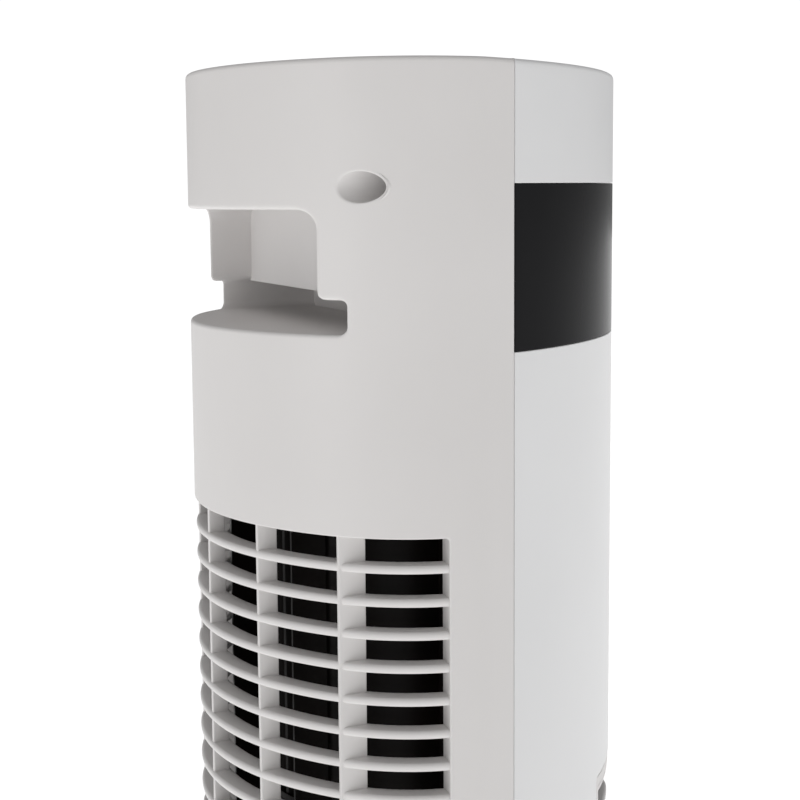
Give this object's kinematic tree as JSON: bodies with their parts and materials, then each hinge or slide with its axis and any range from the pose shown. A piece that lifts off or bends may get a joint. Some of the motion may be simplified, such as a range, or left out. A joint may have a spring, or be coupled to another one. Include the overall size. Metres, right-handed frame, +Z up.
{
  "type": "tower fan",
  "caption": "Oscillating tower fan: a swivelling column on a round base, with a rear carry handle, an intake grille, a wrap-round display window and a cross-flow impeller.",
  "frame": {"origin": "centre of the base, on the floor", "axes": "+Z up; the air outlet faces -Y and the carry handle faces +Y"},
  "size_m": [0.3, 0.3, 0.9],
  "materials": {
    "housing_white": "fine matt moulded texture",
    "front_grey": "smooth satin",
    "window_black": "high gloss, smoked",
    "inner_black": "satin",
    "rubber_black": "matt",
    "steel": "machined or stamped",
    "iron": "dark coated weight",
    "brass": "sintered bush",
    "copper": null,
    "board_green": "coated circuit board",
    "nylon": "natural nylon"
  },
  "bodies": {
    "base": {"base_cover": "housing_white", "base_plate": "inner_black", "base_weight": "iron", "base_feet": "rubber_black", "base_screws": "steel", "swivel_post": "nylon", "swivel_gear": "nylon", "slip_washer": "nylon", "cord_gland": "rubber_black"},
    "column": {"rear_housing": "housing_white", "front_housing": "front_grey", "display_window": "window_black", "top_panel": "front_grey", "outlet_grille": "housing_white", "air_guides": "inner_black", "bottom_cap": "housing_white", "duct_bottom_plate": "inner_black", "duct_top_plate": "inner_black", "scroll_guide": "inner_black", "cutoff_tongue": "inner_black", "intake_vanes": "inner_black", "motor_stator": "steel", "motor_windings": "copper", "motor_upper_bracket": "steel", "motor_lower_bracket": "steel", "motor_mounts": "rubber_black", "bearing_bush": "brass", "bearing_rubber": "rubber_black", "bearing_holder": "steel", "swivel_motor": "steel", "swivel_motor_screws": "steel", "control_board": "board_green", "board_parts": "inner_black", "run_capacitor": "front_grey", "wiring_loom": "rubber_black", "button_board": "board_green", "button_switches": "inner_black", "indicator_board": "board_green", "led_display": "inner_black", "infrared_receiver": "inner_black", "housing_screws": "steel"},
    "impeller_drum": {"impeller": "inner_black", "impeller_hub": "steel", "impeller_pin": "steel", "motor_shaft": "steel", "motor_rotor": "steel"},
    "pinion_drive": {"swivel_pinion": "nylon", "pinion_shaft": "steel"},
    "power_button": {"power_button": "front_grey"},
    "speed_button": {"speed_button": "front_grey"},
    "mode_button": {"mode_button": "front_grey"},
    "timer_button": {"timer_button": "front_grey"},
    "swing_button": {"swing_button": "front_grey"}
  },
  "joints": [
    {"name": "column_swivel", "type": "hinge", "parent": "base", "child": "column", "pos_m": [0, 0, 0.05], "axis": [0, 0, 1], "range_deg": [-35, 35]},
    {"name": "impeller_spin", "type": "hinge", "parent": "column", "child": "impeller_drum", "pos_m": [0, 0.012, 0.2], "axis": [0, 0, 1], "continuous": true},
    {"name": "pinion_spin", "type": "hinge", "parent": "column", "child": "pinion_drive", "pos_m": [0, 0.0401, 0.0535], "axis": [0, 0, 1], "range_deg": [-106, 106]},
    {"name": "power_press", "type": "slide", "parent": "column", "child": "power_button", "axis": [0, 0, -1], "range_m": [0, 0.001], "stiffness_N_per_m": 1500, "springref_m": -0.0001},
    {"name": "speed_press", "type": "slide", "parent": "column", "child": "speed_button", "axis": [0, 0, -1], "range_m": [0, 0.001], "stiffness_N_per_m": 1500, "springref_m": -0.0001},
    {"name": "mode_press", "type": "slide", "parent": "column", "child": "mode_button", "axis": [0, 0, -1], "range_m": [0, 0.001], "stiffness_N_per_m": 1500, "springref_m": -0.0001},
    {"name": "timer_press", "type": "slide", "parent": "column", "child": "timer_button", "axis": [0, 0, -1], "range_m": [0, 0.001], "stiffness_N_per_m": 1500, "springref_m": -0.0001},
    {"name": "swing_press", "type": "slide", "parent": "column", "child": "swing_button", "axis": [0, 0, -1], "range_m": [0, 0.001], "stiffness_N_per_m": 1500, "springref_m": -0.0001}
  ],
  "couplings": [
    {"joint": "pinion_spin", "follows": "column_swivel", "ratio": 3}
  ]
}
